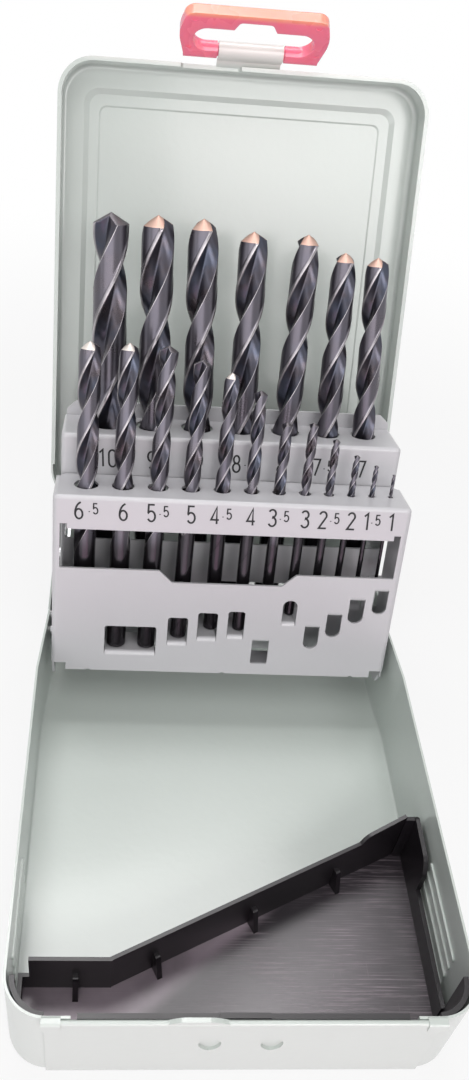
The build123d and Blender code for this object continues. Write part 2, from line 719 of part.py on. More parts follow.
def make_drill(size, flute, length):
    """Twist drill standing on z = 0: plain shank, helical flutes, 118 degree point."""
    r = size / 2
    point = r / tan(radians(drill_point / 2))
    straight = length - flute
    if size < fluted_from:
        return Pos(0, 0, (length - point) / 2) * Cylinder(r, length - point) + Pos(
            0, 0, length - point / 2) * Cone(r, 0, point)
    lead = pi * size / tan(radians(drill_helix))
    twist = Solid.extrude_linear_with_rotation(
        flute_section(size), center=(0, 0, 0), normal=(0, 0, flute), angle=360 * flute / lead)
    runout = Pos(0, 0, straight + 0.8 * size) * Cone(r * 0.999, 0.25 * r, 1.6 * size)
    wide = 1.5
    envelope = revolve(Plane.XZ * Face(Wire.make_polygon(
        [(0, 0), (wide * r, 0), (wide * r, length - wide * point), (0, length)], close=True)), Axis.Z)
    fluted = (Pos(0, 0, straight) * twist + runout) & envelope
    return fluted + Pos(0, 0, straight / 2) * Cylinder(r, straight)


# ---- build every node ----
keep("tray", make_tray())
keep("insert", make_insert())
keep("lid", make_lid(), lid_place)
keep("latch", make_latch(), lid_place * latch_place)
keep("front_rack", make_front_rack(), rack_place)
keep("back_rack", make_back_rack(), rack_place)

keep("hinge_rivets", both_sides(
    rivet(hinge_y, hinge_z, rivet_r, lid_waist - sheet - 0.1, tray_waist, 2.6, 0.4)))
pins = []
for centre, x0 in ((front_pivot, front_half - rack_sheet), (back_pivot, back_half - rack_sheet)):
    y, z = rack_point(*centre)
    pins += both_sides(rivet(y, z, pivot_r, x0 - 0.2, tray_waist, 2.3, 0.5, inner_head=False))
keep("rack_pivots", pins)

s, d = rack_pin()
keep("link_pins", both_sides(
    rivet(d, s, link_pin_r, link_x - 0.05, back_half, 2.0, 0.25, inner_head=True)), rack_place)
keep("drive_pins", both_sides(rod_x(
    drive_pin_r, back_half - rack_sheet - 0.2, front_half + 0.2, drive_pin[1], drive_pin[0])), rack_place)
pin_y, pin_z = lid_pin()
keep("lid_pins", both_sides(
    rivet(pin_y, pin_z, link_pin_r, link_x - 0.05, lid_waist, 2.0, 0.2)), lid_place)


def make_link():
    """Flat bar joining back rack and lid, drawn open."""
    low = polar(rack_point(*back_pivot), rack_crank, rack_crank_angle - rack_swing)
    high = polar(low, link_length, link_angle)
    ends = rod_x(3.0, link_x, link_x + rack_sheet, *low) + rod_x(3.0, link_x, link_x + rack_sheet, *high)
    bar = Pos(link_x + rack_sheet / 2, (low[0] + high[0]) / 2, (low[1] + high[1]) / 2) * Rot(
        link_angle, 0, 0) * Box(rack_sheet, link_length, 4.6)
    body = ends + bar
    body -= rod_x(link_pin_r + running_fit, link_x - 1, link_x + 2, *low)
    body -= rod_x(link_pin_r + link_play, link_x - 1, link_x + 2, *high)
    return body


right, left = both_sides(make_link())
keep("link_right", right)
keep("link_left", left)



def place_drill(size, flute, x, hole_d, hole_s, tip, support, tip_lean, foot_d):
    """Drill through its hole, its foot's rim on the support, its tip at the given height."""
    way = Vector(tip_lean / (tip - hole_s), (hole_d - foot_d) / (hole_s - support), 1).normalized()
    foot = support + seat_gap + size / 2 * hypot(way.X, way.Y)
    start = Vector(x, hole_d, hole_s) + way * ((foot - hole_s) / way.Z)
    length = (tip - foot) / way.Z
    stand = Plane(origin=start, x_dir=(1, 0, 0), z_dir=way).location * Rot(0, 0, 37 * size)
    name = "drill_" + f"{size:.1f}".replace(".", "_")
    keep(name, make_drill(size, flute, length), rack_place * stand)


for (size, flute, tip_lean, foot_d, tip, support), x in zip(front_drills, front_x):
    place_drill(size, flute, x, front_hole_d, 0, tip, support, tip_lean, foot_d)

for (size, flute, share, tip, support, tip_lean), x in zip(back_drills, back_x):
    place_drill(size, flute, x, back_hole_d, back_top, tip, support, tip_lean, back_hole_d)

os.makedirs("parts", exist_ok=True)
for name, shape in nodes.items():
    export_step(shape, "parts/" + name + ".step")
print(len(nodes), "nodes written")
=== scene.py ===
import json
from math import cos, pi, radians, sin, tan

import bpy
from mathutils import Matrix, Vector


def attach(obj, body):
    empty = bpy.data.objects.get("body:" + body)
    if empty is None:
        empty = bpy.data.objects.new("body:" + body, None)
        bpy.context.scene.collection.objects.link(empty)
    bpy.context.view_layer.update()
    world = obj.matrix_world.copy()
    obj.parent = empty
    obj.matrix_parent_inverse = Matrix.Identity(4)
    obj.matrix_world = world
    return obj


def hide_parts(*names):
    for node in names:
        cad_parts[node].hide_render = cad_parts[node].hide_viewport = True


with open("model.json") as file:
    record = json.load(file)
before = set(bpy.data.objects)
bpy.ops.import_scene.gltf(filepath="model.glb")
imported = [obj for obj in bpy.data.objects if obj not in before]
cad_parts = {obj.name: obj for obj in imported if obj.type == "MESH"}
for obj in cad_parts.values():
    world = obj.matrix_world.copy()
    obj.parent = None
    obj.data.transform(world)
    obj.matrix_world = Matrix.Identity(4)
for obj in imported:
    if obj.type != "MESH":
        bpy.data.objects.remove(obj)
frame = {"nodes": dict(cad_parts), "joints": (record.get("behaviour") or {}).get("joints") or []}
nodes = frame["nodes"]
joints = {j["name"]: j for j in frame["joints"]}
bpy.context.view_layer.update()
print("frame loaded")

mm = 0.001
# places given from the tray's front edge are moved by half its depth
trayHalf = 85.25 * mm


# node helpers shared by shader and geometry trees
def link(tree, source, target):
    tree.links.new(source, target)


def feed(tree, socket, value):
    if isinstance(value, bpy.types.NodeSocket):
        link(tree, value, socket)
    else:
        socket.default_value = value


def feedAll(tree, node, values):
    for label, value in values.items():
        feed(tree, node.inputs[label], value)


def mathNode(tree, operation, *values):
    node = tree.nodes.new("ShaderNodeMath")
    node.operation = operation
    for socket, value in zip(node.inputs, values):
        feed(tree, socket, value)
    return node.outputs[0]


def product(tree, first, *others):
    for other in others:
        first = mathNode(tree, "MULTIPLY", first, other)
    return first


def mapRange(tree, value, low, high, outLow=0.0, outHigh=1.0, smooth=False):
    node = tree.nodes.new("ShaderNodeMapRange")
    node.interpolation_type = "SMOOTHSTEP" if smooth else "LINEAR"
    feedAll(tree, node, {"Value": value, "From Min": low, "From Max": high,
                         "To Min": outLow, "To Max": outHigh})
    return node.outputs["Result"]


def colourMix(tree, factor, first, second):
    node = tree.nodes.new("ShaderNodeMix")
    node.data_type = "RGBA"
    # sockets 6 and 7 are the two colours; the same names also stand for floats and vectors
    for place, value in ((0, factor), (6, first), (7, second)):
        feed(tree, node.inputs[place], value)
    return node.outputs[2]


def noiseNode(tree, vector, scale, detail=3.0, roughness=0.5, stretch=None):
    if stretch:
        mapping = tree.nodes.new("ShaderNodeMapping")
        feedAll(tree, mapping, {"Vector": vector, "Scale": stretch})
        vector = mapping.outputs["Vector"]
    node = tree.nodes.new("ShaderNodeTexNoise")
    feedAll(tree, node, {"Vector": vector, "Scale": scale, "Detail": detail, "Roughness": roughness})
    return node.outputs["Fac"]


def axesOf(tree, vector):
    node = tree.nodes.new("ShaderNodeSeparateXYZ")
    link(tree, vector, node.inputs[0])
    return node.outputs


def newGroup(name, kind, inputs, outputs):
    tree = bpy.data.node_groups.new(name, kind)
    for label, socketKind, default in inputs:
        socket = tree.interface.new_socket(label, in_out="INPUT", socket_type=socketKind)
        if default is not None:
            socket.default_value = default
    for label, socketKind in outputs:
        tree.interface.new_socket(label, in_out="OUTPUT", socket_type=socketKind)
    return tree, tree.nodes.new("NodeGroupInput").outputs, tree.nodes.new("NodeGroupOutput").inputs


def useGroup(tree, group, **values):
    node = tree.nodes.new("ShaderNodeGroup")
    node.node_tree = group
    feedAll(tree, node, values)
    return node.outputs


def addObject(name, data):
    thing = bpy.data.objects.new(name, data)
    bpy.context.scene.collection.objects.link(thing)
    return thing


# effects of the shared groups: how fine each noise is, and which part of it counts
effectLook = {
    "peel": 420.0, "grit": 2600.0, "gritShare": 0.12, "mottle": 26.0,
    "smear": 34.0, "smearStretch": (1.0, 0.35, 1.0), "smearSpan": (0.3, 0.8),
    "along": (55.0, 2600.0, 55.0), "alongSpan": (0.50, 0.72),
    "across": (1500.0, 90.0, 90.0), "acrossSpan": (0.70, 0.76), "acrossShare": 0.4,
    "patches": 38.0, "patchSpan": (0.38, 0.62),
}


def makePaintSkin():
    # sprayed enamel: soft orange peel, faint mottling and handling haze
    tree, given, out = newGroup(
        "paintSkin", "ShaderNodeTree",
        (("Vector", "NodeSocketVector", None), ("PeelScale", "NodeSocketFloat", effectLook["peel"]),
         ("Haze", "NodeSocketFloat", 0.5)),
        (("Height", "NodeSocketFloat"), ("Mottle", "NodeSocketFloat"), ("Roughen", "NodeSocketFloat")))
    vector = given["Vector"]
    peel = noiseNode(tree, vector, given["PeelScale"], detail=2.0, roughness=0.45)
    grit = noiseNode(tree, vector, effectLook["grit"], detail=1.0)
    height = mathNode(tree, "ADD", peel, product(tree, grit, effectLook["gritShare"]))
    link(tree, height, out["Height"])
    mottle = noiseNode(tree, vector, effectLook["mottle"], detail=4.0, roughness=0.6)
    link(tree, mottle, out["Mottle"])
    smear = noiseNode(tree, vector, effectLook["smear"], detail=5.0, roughness=0.6,
                      stretch=effectLook["smearStretch"])
    smear = mapRange(tree, smear, *effectLook["smearSpan"])
    link(tree, product(tree, smear, given["Haze"]), out["Roughen"])
    return tree


def makeFineScratches():
    # long thin rubs, mostly one way, with a few across
    tree, given, out = newGroup(
        "fineScratches", "ShaderNodeTree",
        (("Vector", "NodeSocketVector", None), ("Amount", "NodeSocketFloat", 0.5)),
        (("Mask", "NodeSocketFloat"),))
    vector = given["Vector"]
    along = noiseNode(tree, vector, 1.0, detail=4.0, roughness=0.7, stretch=effectLook["along"])
    along = mapRange(tree, along, *effectLook["alongSpan"])
    across = noiseNode(tree, vector, 1.0, detail=2.0, roughness=0.6, stretch=effectLook["across"])
    across = mapRange(tree, across, *effectLook["acrossSpan"])
    patches = mapRange(tree, noiseNode(tree, vector, effectLook["patches"]), *effectLook["patchSpan"])
    both = mathNode(tree, "MAXIMUM", along, product(tree, across, effectLook["acrossShare"]))
    link(tree, product(tree, both, patches, given["Amount"]), out["Mask"])
    return tree


paintSkin = makePaintSkin()
fineScratches = makeFineScratches()


def newMaterial(name):
    material = bpy.data.materials.new(name)
    material.use_nodes = True
    tree = material.node_tree
    shader = tree.nodes["Principled BSDF"]
    coords = tree.nodes.new("ShaderNodeTexCoord").outputs["Object"]
    return material, tree, shader, coords


def bumpInto(tree, shader, height, strength, distance):
    bump = tree.nodes.new("ShaderNodeBump")
    feedAll(tree, bump, {"Height": height, "Strength": strength, "Distance": distance})
    link(tree, bump.outputs["Normal"], shader.inputs["Normal"])


# enamelled sheet: one paint on tray and lid, another on the racks
enamelLook = {
    "body": {"pale": (0.535, 0.583, 0.552, 1), "deep": (0.51, 0.562, 0.53, 1),
             "roughness": 0.28, "haze": 0.15,
             # the rolled tongue above the lid's rim is paler from this height
             "tongue": (0.74, 0.73, 0.70, 1), "tongueFoot": (165.5 * mm, 167.5 * mm)},
    "rack": {"pale": (0.515, 0.515, 0.535, 1), "deep": (0.485, 0.485, 0.505, 1),
             "roughness": 0.36, "haze": 0.7},
    "smearRoughness": 0.12, "coat": {"Coat Weight": 0.4, "Coat Roughness": 0.13},
    "peel": 0.5, "peelDepth": 0.08 * mm,
}


def makeEnamel(kind):
    look = enamelLook[kind]
    material, tree, shader, coords = newMaterial(kind + "Enamel")
    skin = useGroup(tree, paintSkin, Vector=coords, Haze=look["haze"])
    paint = colourMix(tree, skin["Mottle"], look["deep"], look["pale"])
    if "tongue" in look:
        upper = mapRange(tree, axesOf(tree, coords)["Z"], *look["tongueFoot"])
        paint = colourMix(tree, upper, paint, look["tongue"])
    rough = mathNode(tree, "MULTIPLY_ADD", skin["Roughen"], enamelLook["smearRoughness"],
                     look["roughness"])
    feedAll(tree, shader, {"Base Color": paint, "Roughness": rough, **enamelLook["coat"]})
    bumpInto(tree, shader, skin["Height"], enamelLook["peel"], enamelLook["peelDepth"])
    return material


bodyEnamel = makeEnamel("body")
rackEnamel = makeEnamel("rack")


# black moulded liner, rubbed on its floor and clean on the walls; its floor is painted paler than the walls
# as a sheen of the light from above, and carries a painted pale lit patch beside a painted shadow edge
linerLook = {
    "wall": (0.013, 0.010, 0.013, 1), "wallDeep": (0.006, 0.005, 0.007, 1),
    # the colour after the floor's is a painted pale lit patch beside a painted shadow edge
    # the floor colour is painted paler than the walls' as a sheen of the light from above
    "floor": (0.045, 0.036, 0.045, 1), "litPatch": (0.62, 0.51, 0.59, 1), "scratch": (0.36, 0.31, 0.34, 1),
    # the floor is what faces up and lies lower than this
    "facing": (0.7, 0.95, 0.0, 0.9), "floorTop": (6 * mm, 4 * mm), "cloud": 38.0,
    # across a slanting line, a painted shadow edge, the floor goes from a painted pale lit patch to
    # polished, and dulls toward the right end
    "slantX": 0.635, "slantY": -0.773, "slantAway": -42.4 * mm, "litPatchSide": (2 * mm, -3 * mm),
    "polish": 0.85, "polishSide": (2 * mm, 24 * mm, 0.15, 1.0), "rightEnd": (50 * mm, 32 * mm, 0.3, 1.0),
    "coat": {"Coat Roughness": 0.24, "Coat Tint": (1.0, 0.93, 0.98, 1)},
    "roughness": 0.28, "cloudRoughness": 0.15, "scratchRoughness": 0.35,
    "bump": 0.25, "bumpDepth": 0.05 * mm,
}


def makeLinerPlastic():
    material, tree, shader, coords = newMaterial("linerPlastic")
    facing = axesOf(tree, tree.nodes.new("ShaderNodeTexCoord").outputs["Normal"])["Z"]
    place = axesOf(tree, coords)
    flat = product(tree, mapRange(tree, facing, *linerLook["facing"]),
                   mapRange(tree, place["Z"], *linerLook["floorTop"]))
    scratches = useGroup(tree, fineScratches, Vector=coords, Amount=flat)["Mask"]
    cloud = noiseNode(tree, coords, linerLook["cloud"], detail=4.0, roughness=0.6)
    beyond = mathNode(tree, "MULTIPLY_ADD", place["Y"], linerLook["slantY"], linerLook["slantAway"])
    beyond = mathNode(tree, "MULTIPLY_ADD", place["X"], linerLook["slantX"], beyond)
    polish = product(tree, flat, linerLook["polish"],
                     mapRange(tree, beyond, *linerLook["polishSide"], smooth=True),
                     mapRange(tree, place["X"], *linerLook["rightEnd"], smooth=True))
    # painted light: a pale lit patch on the wall side of the slanting shadow edge
    litPatch = product(tree, mapRange(tree, beyond, *linerLook["litPatchSide"], smooth=True), flat)
    base = colourMix(tree, cloud, linerLook["wallDeep"], linerLook["wall"])
    # painted sheen: what faces up and lies low takes the paler floor colour
    base = colourMix(tree, product(tree, flat, cloud), base, linerLook["floor"])
    base = colourMix(tree, product(tree, litPatch, cloud), base, linerLook["litPatch"])
    base = colourMix(tree, scratches, base, linerLook["scratch"])
    rough = mathNode(tree, "MULTIPLY_ADD", cloud, linerLook["cloudRoughness"], linerLook["roughness"])
    rough = mathNode(tree, "MULTIPLY_ADD", scratches, linerLook["scratchRoughness"], rough)
    feedAll(tree, shader, {"Base Color": base, "Roughness": rough, "Coat Weight": polish,
                           **linerLook["coat"]})
    bumpInto(tree, shader, mathNode(tree, "SUBTRACT", cloud, scratches), linerLook["bump"],
             linerLook["bumpDepth"])
    return material


linerPlastic = makeLinerPlastic()


# red latch
latchLook = {
    "red": (1.0, 0.23, 0.34, 1), "redDeep": (1.0, 0.20, 0.30, 1), "cloud": 90.0,
    # the top strip is thinner and lets more light through
    "strip": (1.0, 0.36, 0.27, 1), "stripFoot": (181.5 * mm, 182.5 * mm),
    "roughness": (0.3, 0.7, 0.22, 0.34), "grain": 800.0, "bump": 0.12, "bumpDepth": 0.04 * mm,
    "glow": {"Subsurface Weight": 0.6, "Subsurface Scale": 6 * mm, "Subsurface Radius": (1.0, 0.35, 0.2)},
}


def makeLatchPlastic():
    material, tree, shader, coords = newMaterial("latchPlastic")
    cloud = noiseNode(tree, coords, latchLook["cloud"])
    red = colourMix(tree, cloud, latchLook["redDeep"], latchLook["red"])
    upper = mapRange(tree, axesOf(tree, coords)["Z"], *latchLook["stripFoot"])
    feedAll(tree, shader, {"Base Color": colourMix(tree, upper, red, latchLook["strip"]),
                           "Roughness": mapRange(tree, cloud, *latchLook["roughness"]),
                           **latchLook["glow"]})
    grain = noiseNode(tree, coords, latchLook["grain"], detail=2.0)
    bumpInto(tree, shader, grain, latchLook["bump"], latchLook["bumpDepth"])
    return material


latchPlastic = makeLatchPlastic()


# plated rivets, pins and links
platedLook = {
    "pale": (0.66, 0.67, 0.68, 1), "deep": (0.50, 0.51, 0.52, 1), "grain": (500.0, 120.0, 500.0),
    "roughness": (0.3, 0.7, 0.26, 0.42), "bump": 0.15, "bumpDepth": 0.03 * mm,
}


def makePlatedSteel():
    material, tree, shader, coords = newMaterial("platedSteel")
    grain = noiseNode(tree, coords, 1.0, roughness=0.6, stretch=platedLook["grain"])
    feedAll(tree, shader, {"Base Color": colourMix(tree, grain, platedLook["deep"], platedLook["pale"]),
                           "Roughness": mapRange(tree, grain, *platedLook["roughness"]),
                           "Metallic": 1.0})
    bumpInto(tree, shader, grain, platedLook["bump"], platedLook["bumpDepth"])
    return material


platedSteel = makePlatedSteel()


# drill steel: black oxide, lands painted paler as a reflection, margins painted bright as highlights,
# ground point
steelLook = {
    "oxide": (0.072, 0.060, 0.067, 1), "oxideBlue": (0.058, 0.065, 0.090, 1),
    # the land colour is a painted reflection of the surroundings, the margin colour a painted highlight on
    # the edge lines
    "shank": (0.040, 0.036, 0.042, 1), "landSheen": (0.122, 0.114, 0.134, 1), "edgeGlint": (0.60, 0.57, 0.58, 1),
    "tips": {"bronze": (0.50, 0.335, 0.275, 1), "pale": (0.66, 0.61, 0.57, 1),
             "dark": (0.13, 0.12, 0.13, 1)},
    "cloud": 110.0, "blueSpan": (0.35, 0.65), "grain": (3000.0, 3000.0, 500.0),
    "landShare": 0.7, "marginGlint": (0.3, 0.6, 0.25, 0.8), "tipCover": (0.2, 0.5, 0.85, 1.0),
    # the plain shank is smoother than the wound part
    "metallic": 0.85, "roughness": (0.0, 1.0, 0.15, 0.22), "cloudRoughness": 0.14,
    "tipRoughness": 0.15, "bump": 0.12, "bumpDepth": 0.03 * mm,
}


def makeDrillSteel(name, point):
    material, tree, shader, coords = newMaterial(name)
    masks = {}
    for label in ("wound", "landSheen", "edgeGlint", "ground"):
        node = tree.nodes.new("ShaderNodeAttribute")
        node.attribute_name = label
        masks[label] = node.outputs["Fac"]
    cloud = noiseNode(tree, coords, steelLook["cloud"], detail=4.0, roughness=0.65)
    grain = noiseNode(tree, coords, 1.0, roughness=0.6, stretch=steelLook["grain"])
    base = colourMix(tree, mapRange(tree, cloud, *steelLook["blueSpan"]), steelLook["oxide"],
                     steelLook["oxideBlue"])
    base = colourMix(tree, masks["wound"], steelLook["shank"], base)
    # painted reflection: the lands are painted paler than the flutes
    base = colourMix(tree, product(tree, masks["landSheen"], steelLook["landShare"]), base, steelLook["landSheen"])
    # painted highlight: the heel, margin and lip lines take a pale colour, varied by the cloud
    glintAmount = product(tree, masks["edgeGlint"], mapRange(tree, cloud, *steelLook["marginGlint"]))
    base = colourMix(tree, glintAmount, base, steelLook["edgeGlint"])
    tip = product(tree, masks["ground"], mapRange(tree, grain, *steelLook["tipCover"]))
    rough = mapRange(tree, masks["wound"], *steelLook["roughness"])
    rough = mathNode(tree, "MULTIPLY_ADD", cloud, steelLook["cloudRoughness"], rough)
    rough = mathNode(tree, "MULTIPLY_ADD", masks["ground"], steelLook["tipRoughness"], rough)
    feedAll(tree, shader, {"Base Color": colourMix(tree, tip, base, point), "Roughness": rough,
                           "Metallic": steelLook["metallic"]})
    bumpInto(tree, shader, grain, steelLook["bump"], steelLook["bumpDepth"])
    return material


drillSteels = {name: makeDrillSteel(name + "DrillSteel", colour)
               for name, colour in steelLook["tips"].items()}
print("materials made")


# shape of the twist drills; angles in degrees, shares of the radius or of half a turn
drillLook = {
    "helix": 27.0, "web": 0.31, "landShare": 0.46, "point": 118.0, "relief": 0.035, "footBevel": 0.86,
    # the flute's hollow, and its run-out toward the shank in diameters
    "hollowSkew": 0.82, "hollowFullness": 0.8, "runOut": 1.6,
    "bronze": ("9_5", "9_0", "8_5", "8_0", "7_5", "7_0"), "pale": ("6_5", "6_0", "4_5"),
    # how far the nearer land has turned to the right of the front at the point
    "facing": {"10_0": 80, "9_5": -6, "9_0": 6, "8_5": -11, "8_0": 16, "7_5": 8, "7_0": -16,
               "6_5": 3, "6_0": 4, "5_5": 71, "5_0": 83, "4_5": -5, "4_0": 50, "3_5": 40},
    "facingRest": 30,
    # mesh rows along the drill, and the shares of them at which the foot and the shoulder end
    "rows": 161, "footRow": 0.01, "shoulderRow": 0.8, "weld": 0.004 * mm,
    # mesh columns over half the section: column, then place as (fixed, times land share)
    "columns": 40,
    "spread": ((0, (0, 0)), (2, (0.014, 0)), (3, (0.03, 0)), (17, (-0.078, 1)), (18, (-0.066, 1)),
               (20, (-0.012, 1)), (21, (0, 1)), (22, (0.012, 1)), (38, (0.984, 0)), (40, (1, 0))),
    # columns of the relieved land's end, and of the heel, margin and lip lines that carry painted
    # highlights, with their strengths
    "reliefEnd": (17.0, 18.0), "heelEnd": 1.5, "marginMiddle": 18.5, "lipMiddle": 20.5,
    "heelGlint": 0.8, "marginGlint": 0.45,
    # flute lengths of the standard jobber series, in millimetres
    "flutes": {"10_0": 87, "9_5": 81, "9_0": 81, "8_5": 75, "8_0": 75, "7_5": 69, "7_0": 69,
               "6_5": 63, "6_0": 62, "5_5": 61, "5_0": 52, "4_5": 47, "4_0": 43, "3_5": 39,
               "3_0": 33, "2_5": 30, "2_0": 24, "1_5": 18, "1_0": 12},
}


# twist drill as a rule: land, margin and flute wound round a shank
def makeDrillTree():
    tree, given, out = newGroup(
        "twistDrill", "GeometryNodeTree",
        (("Diameter", "NodeSocketFloat", 8 * mm), ("Length", "NodeSocketFloat", 117 * mm),
         ("Flute Length", "NodeSocketFloat", 75 * mm), ("Lead", "NodeSocketFloat", 50 * mm),
         ("Web", "NodeSocketFloat", 0.2), ("Land Share", "NodeSocketFloat", 0.5),
         ("Point Height", "NodeSocketFloat", 2.4 * mm), ("Phase", "NodeSocketFloat", 0.0),
         ("Around", "NodeSocketInt", 56), ("Along", "NodeSocketInt", 150),
         ("Material", "NodeSocketMaterial", None)),
        (("Geometry", "NodeSocketGeometry"),))
    grid = tree.nodes.new("GeometryNodeMeshGrid")
    feedAll(tree, grid, {"Vertices X": given["Around"], "Vertices Y": given["Along"]})
    flat = axesOf(tree, tree.nodes.new("GeometryNodeInputPosition").outputs[0])
    look = drillLook
    # slack of a comparison, and the reach of a column from the middle of its pair
    hair, pair = 0.001, 0.6

    def calc(operation, *values):
        return mathNode(tree, operation, *values)

    # column number within one half of the section; columns crowd at the edges
    index = calc("ROUND", calc("MULTIPLY", calc("ADD", flat["X"], 0.5), 2.0 * look["columns"]))
    column = calc("MODULO", index, look["columns"])
    second = calc("GREATER_THAN", calc("MODULO", index, 2.0 * look["columns"]), look["columns"] - 0.5)
    along = calc("ADD", flat["Y"], 0.5)
    radius = calc("MULTIPLY", given["Diameter"], 0.5)
    shoulder = calc("SUBTRACT", given["Length"], given["Point Height"])
    # most rows climb to the shoulder, the rest cover the point
    height = calc("ADD", mapRange(tree, along, look["footRow"], look["shoulderRow"], 0.0, shoulder),
                  mapRange(tree, along, look["shoulderRow"], 1.0, 0.0, given["Point Height"]))
    # toward the shank the flute grows shallow and narrows to a rounded end
    start = calc("SUBTRACT", given["Length"], given["Flute Length"])
    end = calc("ADD", start, calc("MULTIPLY", given["Diameter"], look["runOut"]))
    fade = mapRange(tree, height, start, end, smooth=True)
    mouth = calc("SQRT", mapRange(tree, height, start, end))
    share = calc("SUBTRACT", 1.0, calc("MULTIPLY", calc("SUBTRACT", 1.0, given["Land Share"]), mouth))
    half = 0.0
    for (here, since), (there, to) in zip(look["spread"], look["spread"][1:]):
        span = calc("ADD", to[0] - since[0], calc("MULTIPLY", share, to[1] - since[1]))
        half = calc("ADD", half, mapRange(tree, column, here, there, 0.0, span))
    # the section turns with height, measured back from the point
    turns = calc("DIVIDE", calc("SUBTRACT", height, given["Length"]), given["Lead"])
    wind = calc("ADD", calc("MULTIPLY", turns, 2 * pi), given["Phase"])
    around = calc("ADD", wind, calc("MULTIPLY", calc("ADD", half, second), pi))
    # hollow of the flute, and the land set back behind its margin
    flute = calc("POWER", mapRange(tree, half, share, 1.0), look["hollowSkew"])
    bowl = calc("POWER", calc("SINE", calc("MULTIPLY", flute, pi)), look["hollowFullness"])
    depth = calc("MULTIPLY", radius, calc("SUBTRACT", 1.0, given["Web"]))
    onLand = calc("LESS_THAN", half, calc("ADD", share, hair))
    relief = product(tree, mapRange(tree, column, *look["reliefEnd"], 1.0, 0.0), onLand,
                     radius, look["relief"])
    cut = calc("ADD", calc("MULTIPLY", bowl, depth), relief)
    wound = calc("SUBTRACT", radius, calc("MULTIPLY", fade, cut))
    # cone of the point and a small bevel at the foot, closed by its first row
    cone = calc("MULTIPLY", calc("SUBTRACT", given["Length"], height),
                calc("DIVIDE", radius, given["Point Height"]))
    foot = calc("ADD", calc("MULTIPLY", radius, look["footBevel"]), height)
    final = calc("MINIMUM", calc("MINIMUM", wound, cone), foot)
    final = calc("MULTIPLY", final, calc("GREATER_THAN", along, 0.5 / look["rows"]))
    place = tree.nodes.new("ShaderNodeCombineXYZ")
    feedAll(tree, place, {"X": calc("MULTIPLY", final, calc("COSINE", around)),
                          "Y": calc("MULTIPLY", final, calc("SINE", around)), "Z": height})
    # masks for the steel: painted edge highlights, wound part, land with its painted reflection, and ground
    # point
    # painted highlights along the heel, margin and lip columns
    heel = calc("MULTIPLY", calc("LESS_THAN", column, look["heelEnd"]), look["heelGlint"])
    edgeGlint = calc("MULTIPLY", calc("COMPARE", column, look["marginMiddle"], pair), look["marginGlint"])
    lip = calc("COMPARE", column, look["lipMiddle"], pair)
    edges = calc("MAXIMUM", heel, calc("MAXIMUM", lip, edgeGlint))
    masks = {"wound": fade, "landSheen": calc("MULTIPLY", onLand, fade),
             "edgeGlint": calc("MULTIPLY", edges, calc("GREATER_THAN", height, start)),
             "ground": calc("LESS_THAN", cone, calc("MULTIPLY", wound, 1 - hair))}
    steps = [("GeometryNodeStoreNamedAttribute", {"Name": label, "Value": value})
             for label, value in masks.items()]
    steps += [("GeometryNodeSetPosition", {"Position": place.outputs[0]}),
              ("GeometryNodeMergeByDistance", {"Distance": look["weld"]}),
              ("GeometryNodeRealizeInstances", {}),
              ("GeometryNodeSetMaterial", {"Material": given["Material"]})]
    shape = grid.outputs["Mesh"]
    for kind, values in steps:
        node = tree.nodes.new(kind)
        feedAll(tree, node, {"Geometry": shape, **values})
        shape = node.outputs["Geometry"]
    link(tree, shape, out["Geometry"])
    return tree


def grow(tree, values, name):
    # runs a geometry tree once and keeps its plain mesh
    host = addObject(name, bpy.data.meshes.new(name))
    modifier = host.modifiers.new("shape", "NODES")
    modifier.node_group = tree
    for item in tree.interface.items_tree:
        if item.in_out == "INPUT" and item.name in values:
            modifier[item.identifier] = values[item.name]
    depsgraph = bpy.context.evaluated_depsgraph_get()
    mesh = bpy.data.meshes.new_from_object(host.evaluated_get(depsgraph))
    host.modifiers.remove(modifier)
    host.data = mesh
    mesh.name = name
    return host


def drillLine(node, axis):
    # foot and length of a drill along its own axis, from its solid
    footBand = 0.2 * mm
    side = axis.orthogonal().normalized()
    other = axis.cross(side)
    points = [v.co for v in nodes[node].data.vertices]
    ends = [p.dot(axis) for p in points]
    low, high = min(ends), max(ends)
    shank = [p for p, e in zip(points, ends) if e < low + footBand]
    foot = axis * low
    for way in (side, other):
        reaches = [p.dot(way) for p in shank]
        foot = foot + way * 0.5 * (min(reaches) + max(reaches))
    return foot, high - low


def makeDrills():
    tree = makeDrillTree()
    for key, flutes in drillLook["flutes"].items():
        node = "drill_" + key
        size = float(key.replace("_", ".")) * mm
        axis = Vector(joints[node + "_lift"]["axis"]).normalized()
        foot, length = drillLine(node, axis)
        tip = "bronze" if key in drillLook["bronze"] else "pale" if key in drillLook["pale"] else "dark"
        facing = drillLook["facing"].get(key, drillLook["facingRest"])
        values = {
            "Diameter": size, "Length": length, "Flute Length": flutes * mm,
            "Lead": pi * size / tan(radians(drillLook["helix"])),
            "Web": drillLook["web"], "Land Share": drillLook["landShare"],
            "Point Height": size / 2 / tan(radians(drillLook["point"] / 2)),
            # the front is a quarter turn back, the land's middle half its width past its edge
            "Phase": radians(facing - 90 - 90 * drillLook["landShare"]),
            "Around": 2 * drillLook["columns"] + 1, "Along": drillLook["rows"],
            "Material": drillSteels[tip],
        }
        drill = grow(tree, values, "twist" + key)
        turn = Vector((0, 0, 1)).rotation_difference(axis).to_matrix().to_4x4()
        drill.data.transform(Matrix.Translation(foot) @ turn)
        drill.data.shade_smooth()
        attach(drill, node)
        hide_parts(node)


makeDrills()
print("drills wound")


# finishes of the carried-over nodes
nodeFinish = {
    "tray": bodyEnamel, "lid": bodyEnamel, "front_rack": rackEnamel, "back_rack": rackEnamel,
    "insert": linerPlastic, "latch": latchPlastic, "hinge_rivets": platedSteel,
    "rack_pivots": platedSteel, "link_pins": platedSteel, "drive_pins": platedSteel,
    "lid_pins": platedSteel, "link_left": platedSteel, "link_right": platedSteel,
}
for name, material in nodeFinish.items():
    nodes[name].data.materials.clear()
    nodes[name].data.materials.append(material)
print("finishes set")


